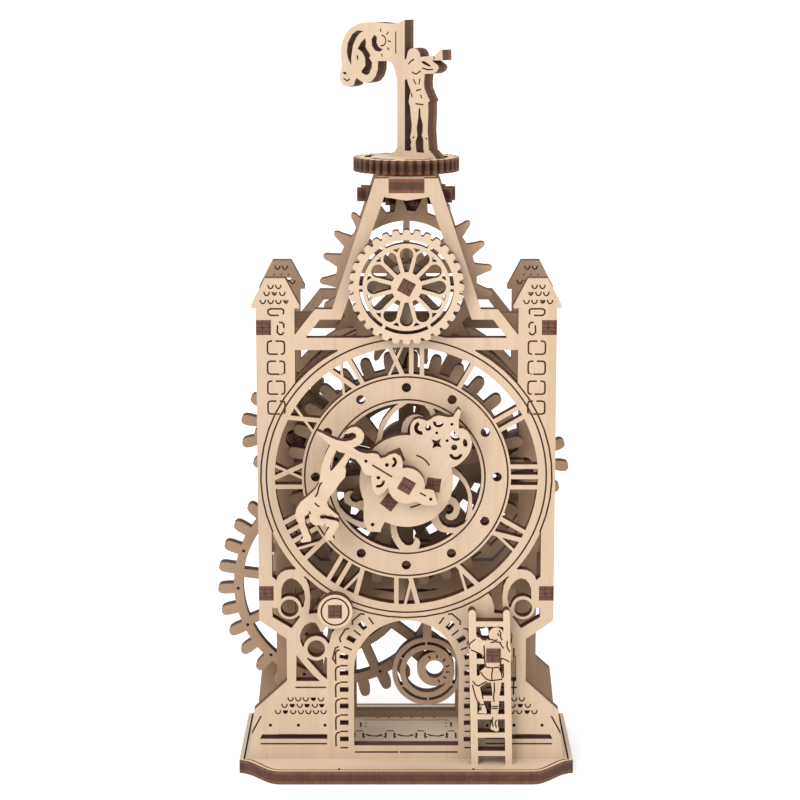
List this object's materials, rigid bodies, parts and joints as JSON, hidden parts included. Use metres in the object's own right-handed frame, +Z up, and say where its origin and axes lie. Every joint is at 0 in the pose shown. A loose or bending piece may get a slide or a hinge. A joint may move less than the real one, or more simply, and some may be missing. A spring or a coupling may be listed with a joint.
{
  "type": "wooden clock tower puzzle",
  "caption": "Laser-cut plywood clock tower with a hand-turned gear train, dial with two hands, swinging pendulum and turning flag platform.",
  "frame": {"origin": "middle of the underside of the base plate, halfway between its front and rear edges", "axes": "+Z up, the dial looks along -Y, +X to the right when looking at the dial"},
  "size_m": [0.0786, 0.048, 0.1622],
  "materials": {
    "light_ply": "bare matte veneer",
    "inner_ply": "bare matte veneer",
    "burnt_ply": "laser-browned end grain"
  },
  "bodies": {
    "frame": {"base_plate": "light_ply", "front_plate": "light_ply", "back_plate": "inner_ply", "bearing_plate": "inner_ply", "top_plate": "light_ply", "upper_left_beam": "burnt_ply", "upper_right_beam": "burnt_ply", "lower_left_beam": "burnt_ply", "lower_right_beam": "burnt_ply", "pendulum_pin": "burnt_ply", "ladder_climber": "light_ply", "ladder_peg": "burnt_ply"},
    "drive": {"drive_gear": "inner_ply", "drive_axle": "burnt_ply", "drive_axle_disc": "light_ply", "drive_axle_cap": "light_ply"},
    "left_idler": {"left_axle": "burnt_ply", "left_gear": "inner_ply", "left_pinion": "inner_ply"},
    "minute": {"minute_axle": "burnt_ply", "minute_hand": "light_ply", "centre_gear": "inner_ply", "minute_gear": "inner_ply", "minute_axle_cap": "light_ply"},
    "hour": {"hour_hand": "light_ply", "hour_pegs": "burnt_ply", "hour_carrier": "inner_ply", "hour_retainer": "inner_ply"},
    "right_idler": {"right_axle": "burnt_ply", "right_pinion": "inner_ply"},
    "upper": {"upper_axle": "burnt_ply", "rose_gear": "light_ply", "crown_gear": "inner_ply", "upper_axle_cap": "light_ply"},
    "platform": {"platform_axle": "burnt_ply", "long_tooth_gear": "inner_ply", "platform_gear": "light_ply", "flag_trumpeter": "light_ply", "platform_axle_cap": "inner_ply"},
    "swing": {"pendulum": "inner_ply"}
  },
  "joints": [
    {"name": "drive_spin", "type": "hinge", "parent": "frame", "child": "drive", "pos_m": [-0.0153, 0, 0.0372], "axis": [0, -1, 0], "continuous": true},
    {"name": "left_spin", "type": "hinge", "parent": "frame", "child": "left_idler", "pos_m": [-0.024, 0, 0.0724], "axis": [0, -1, 0], "continuous": true},
    {"name": "minute_spin", "type": "hinge", "parent": "frame", "child": "minute", "pos_m": [0, 0, 0.0661], "axis": [0, -1, 0], "continuous": true},
    {"name": "hour_spin", "type": "hinge", "parent": "frame", "child": "hour", "pos_m": [0, 0, 0.0661], "axis": [0, -1, 0], "continuous": true},
    {"name": "right_spin", "type": "hinge", "parent": "frame", "child": "right_idler", "pos_m": [0.0256, 0, 0.0661], "axis": [0, -1, 0], "continuous": true},
    {"name": "upper_spin", "type": "hinge", "parent": "frame", "child": "upper", "pos_m": [0, 0, 0.1074], "axis": [0, -1, 0], "continuous": true},
    {"name": "platform_spin", "type": "hinge", "parent": "frame", "child": "platform", "pos_m": [0, 0.0005, 0.1268], "axis": [0, 0, 1], "continuous": true},
    {"name": "pendulum_swing", "type": "hinge", "parent": "frame", "child": "swing", "pos_m": [0.0047, -0.0011, 0.0424], "axis": [0, -1, 0], "range_deg": [-8, 8]}
  ],
  "couplings": [
    {"joint": "left_spin", "follows": "drive_spin", "ratio": -2.2857},
    {"joint": "minute_spin", "follows": "drive_spin", "ratio": 1.039},
    {"joint": "hour_spin", "follows": "drive_spin", "ratio": 0.08658},
    {"joint": "right_spin", "follows": "drive_spin", "ratio": -2.0779},
    {"joint": "upper_spin", "follows": "drive_spin", "ratio": -1.4842},
    {"joint": "platform_spin", "follows": "drive_spin", "ratio": 2.5974}
  ]
}
